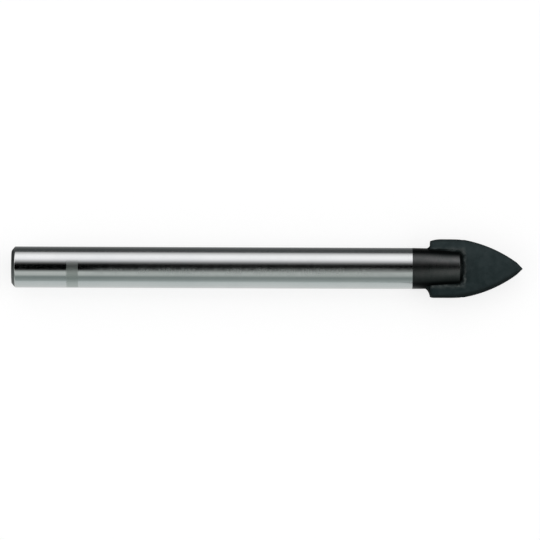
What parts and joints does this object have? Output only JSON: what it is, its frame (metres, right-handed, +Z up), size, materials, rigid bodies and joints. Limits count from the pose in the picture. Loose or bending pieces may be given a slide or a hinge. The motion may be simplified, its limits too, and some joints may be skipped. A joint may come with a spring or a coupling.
{
  "type": "glass and tile drill bit",
  "caption": "Spear-point drill bit for glass and tile: a plain ground steel shank with a flat carbide plate brazed into its slotted end.",
  "frame": {"origin": "centre of the shank's rear face, on the axis of the bit", "axes": "+X along the axis towards the point, +Y across the wings of the plate, +Z up and normal to the faces of the plate"},
  "size_m": [0.087, 0.01, 0.007],
  "materials": {
    "ground_steel": "bright ground barrel, blackened satin neck",
    "carbide": "matte slate grey, fired and blasted",
    "braze": "dull oxidised silver solder"
  },
  "bodies": {
    "root": {"shank": "ground_steel", "carbide_tip": "carbide", "braze": "braze"}
  },
  "joints": []
}
